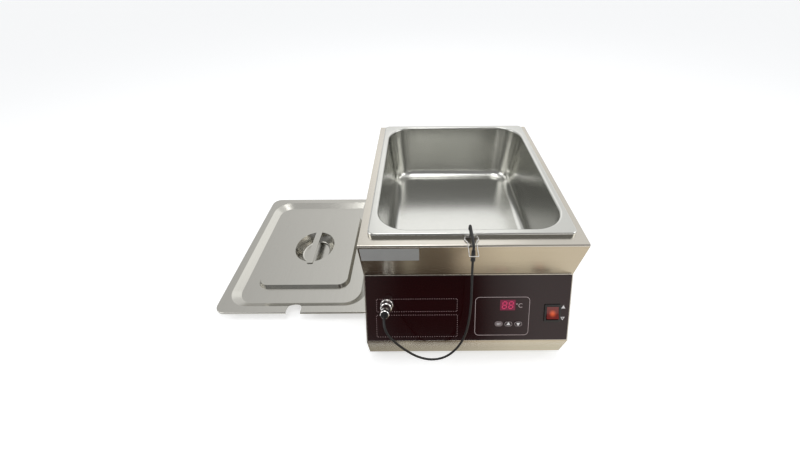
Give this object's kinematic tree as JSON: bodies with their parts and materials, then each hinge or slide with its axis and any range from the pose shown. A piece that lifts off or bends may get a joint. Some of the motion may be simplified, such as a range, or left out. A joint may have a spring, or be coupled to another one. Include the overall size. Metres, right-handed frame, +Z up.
{
  "type": "chocolate tempering machine",
  "caption": "Countertop chocolate tempering machine: slope-fronted steel casing, lift-out food pan, clipped-on temperature probe with cable, keypad, rocker switch and a separate notched lid.",
  "frame": {"origin": "on the table, under the middle of the box round machine and lid, measured without the probe cable and its plug", "axes": "+X along the front from the lid towards the mains switch, +Y from the front to the rear cover, +Z up from the table"},
  "size_m": [0.5534, 0.4289, 0.2122],
  "materials": {
    "casing_steel": "fine brushed stainless sheet",
    "pan_steel": "satin drawn stainless",
    "lid_steel": "satin drawn stainless",
    "fascia_film": "dark maroon printed film",
    "lens_tint": "dark red window",
    "black_plastic": "moulded, fine grain",
    "white_key": "moulded, smooth",
    "dark_key": "moulded, smooth",
    "red_key": "translucent, lit from inside",
    "bright_metal": "nickel plated",
    "screw_steel": "zinc plated",
    "black_rubber": "matt",
    "probe_steel": "drawn tube",
    "inner_steel": "aluminised sheet",
    "wool": "mineral wool",
    "board_green": "coated glass-fibre board",
    "element_sheath": "heat-stained tube",
    "brass_contact": "bare",
    "relay_blue": "moulded",
    "transformer_yellow": "taped winding and core"
  },
  "bodies": {
    "casing": {"base_plate": "inner_steel", "base_screws": "screw_steel", "board_nuts": "screw_steel", "board_pillars": "brass_contact", "casing": "casing_steel", "control_board": "board_green", "cover_screws": "screw_steel", "display_lens": "lens_tint", "display_module": "black_plastic", "earth_stud": "brass_contact", "element_clamps": "inner_steel", "fascia": "fascia_film", "foot_front_left": "black_rubber", "foot_front_right": "black_rubber", "foot_nuts": "screw_steel", "foot_rear_left": "black_rubber", "foot_rear_right": "black_rubber", "foot_screws": "screw_steel", "heating_element": "element_sheath", "heating_well": "inner_steel", "inlet_pins": "brass_contact", "inlet_screws": "screw_steel", "insulation": "wool", "mains_inlet": "black_plastic", "plug_ring": "bright_metal", "power_board": "board_green", "power_posts": "screw_steel", "probe_cable": "black_rubber", "probe_plug": "bright_metal", "probe_socket": "bright_metal", "rear_cover": "casing_steel", "relay": "relay_blue", "rocker_body": "black_plastic", "rocker_tabs": "brass_contact", "socket_nut": "bright_metal", "tact_switches": "black_plastic", "tank_jacket": "inner_steel", "terminal_block": "white_key", "thermal_cutout": "brass_contact", "transformer": "transformer_yellow"},
    "pan": {"pan": "pan_steel", "clip_body": "bright_metal", "probe_tube": "probe_steel", "probe_sleeve": "black_rubber", "probe_boot": "black_rubber"},
    "front_lever": {"clip_lever_front": "bright_metal"},
    "back_lever": {"clip_lever_back": "bright_metal"},
    "lid": {"lid": "lid_steel", "lid_handle": "lid_steel"},
    "rocker": {"rocker_key": "red_key"},
    "set_button": {"set_key": "white_key"},
    "up_button": {"up_key": "dark_key"},
    "down_button": {"down_key": "dark_key"}
  },
  "joints": [
    {"name": "pan_lift", "type": "slide", "parent": "casing", "child": "pan", "axis": [0, 0, 1], "range_m": [0, 0.15]},
    {"name": "lid_lift", "type": "slide", "parent": "casing", "child": "lid", "axis": [0, 0, 1], "range_m": [0, 0.25]},
    {"name": "front_lever_swing", "type": "hinge", "parent": "pan", "child": "front_lever", "pos_m": [0.13195, -0.14835, 0.2038], "axis": [-1, 0, 0], "range_deg": [0, 100]},
    {"name": "back_lever_swing", "type": "hinge", "parent": "pan", "child": "back_lever", "pos_m": [0.13195, -0.13495, 0.2038], "axis": [1, 0, 0], "range_deg": [0, 90]},
    {"name": "mains_rocker", "type": "hinge", "parent": "casing", "child": "rocker", "pos_m": [0.25175, -0.17685, 0.08776], "axis": [1, 0, 0], "range_deg": [0, 20]},
    {"name": "set_press", "type": "slide", "parent": "casing", "child": "set_button", "axis": [0, 0.8779, -0.4789], "range_m": [0, 0.0008], "stiffness_N_per_m": 1500},
    {"name": "up_press", "type": "slide", "parent": "casing", "child": "up_button", "axis": [0, 0.8779, -0.4789], "range_m": [0, 0.0008], "stiffness_N_per_m": 1500},
    {"name": "down_press", "type": "slide", "parent": "casing", "child": "down_button", "axis": [0, 0.8779, -0.4789], "range_m": [0, 0.0008], "stiffness_N_per_m": 1500}
  ]
}
